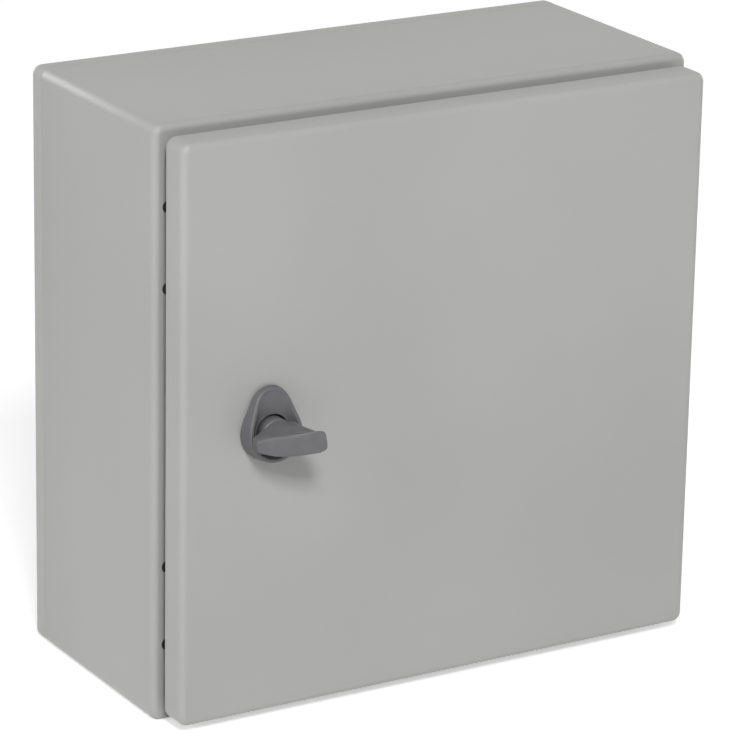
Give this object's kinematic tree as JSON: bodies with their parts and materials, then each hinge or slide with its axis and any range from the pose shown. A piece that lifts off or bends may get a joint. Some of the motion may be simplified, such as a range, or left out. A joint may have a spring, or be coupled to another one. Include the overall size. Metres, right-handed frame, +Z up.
{
  "type": "wall enclosure",
  "caption": "Square sheet-steel wall enclosure with a folded body, a hinged door with a quarter-turn wing lock, a mounting plate and a gland plate.",
  "frame": {"origin": "middle of the wall face, the outside of the back panel", "axes": "+X to the right seen from the front, +Y into the wall, +Z up; the door is on the -Y side with its hinges at +X"},
  "size_m": [0.3, 0.1828, 0.3],
  "materials": {
    "body_paint": "light grey powder coat, fine satin",
    "door_paint": "light grey powder coat, fine satin",
    "galvanised_sheet": "galvanised sheet, matt spangle",
    "stud_steel": "plain rolled thread",
    "zinc_plate": "bright zinc plate",
    "hinge_zinc": "die-cast zinc, tumbled",
    "earth_brass": "bare, lightly dulled",
    "foam_rubber": "foamed, matt",
    "black_plastic": "moulded, matt",
    "grey_plastic": "moulded, fine grain"
  },
  "bodies": {
    "enclosure": {"body_shell": "body_paint", "back_panel": "body_paint", "mounting_plate": "galvanised_sheet", "plate_studs": "stud_steel", "plate_washers": "zinc_plate", "plate_nuts": "zinc_plate", "gland_plate": "body_paint", "gland_gasket": "foam_rubber", "gland_studs": "stud_steel", "gland_nuts": "zinc_plate", "body_earth_stud": "earth_brass", "body_earth_washer": "earth_brass", "body_earth_nut": "earth_brass", "hinge_bracket_upper": "hinge_zinc", "hinge_bracket_lower": "hinge_zinc", "hinge_screws": "zinc_plate", "hinge_nuts": "zinc_plate", "hinge_pin_upper": "stud_steel", "hinge_pin_lower": "stud_steel", "flange_plugs": "black_plastic"},
    "door": {"door_shell": "door_paint", "door_gasket": "foam_rubber", "hinge_leaf_upper": "hinge_zinc", "hinge_leaf_lower": "hinge_zinc", "leaf_studs": "stud_steel", "leaf_nuts": "zinc_plate", "door_earth_stud": "earth_brass", "door_earth_washer": "earth_brass", "door_earth_nut": "earth_brass", "lock_seal": "foam_rubber", "lock_housing": "grey_plastic", "lock_nut": "zinc_plate"},
    "knob": {"wing_knob": "grey_plastic", "lock_spindle": "zinc_plate", "spindle_ring": "foam_rubber", "lock_cam": "zinc_plate", "cam_washer": "zinc_plate", "cam_screw": "zinc_plate"}
  },
  "joints": [
    {"name": "door_hinge", "type": "hinge", "parent": "enclosure", "child": "door", "pos_m": [0.1425, -0.14, 0], "axis": [0, 0, 1], "range_deg": [0, 130]},
    {"name": "knob_turn", "type": "hinge", "parent": "door", "child": "knob", "pos_m": [-0.1, -0.15, 0], "axis": [0, -1, 0], "range_deg": [-10, 80]}
  ]
}
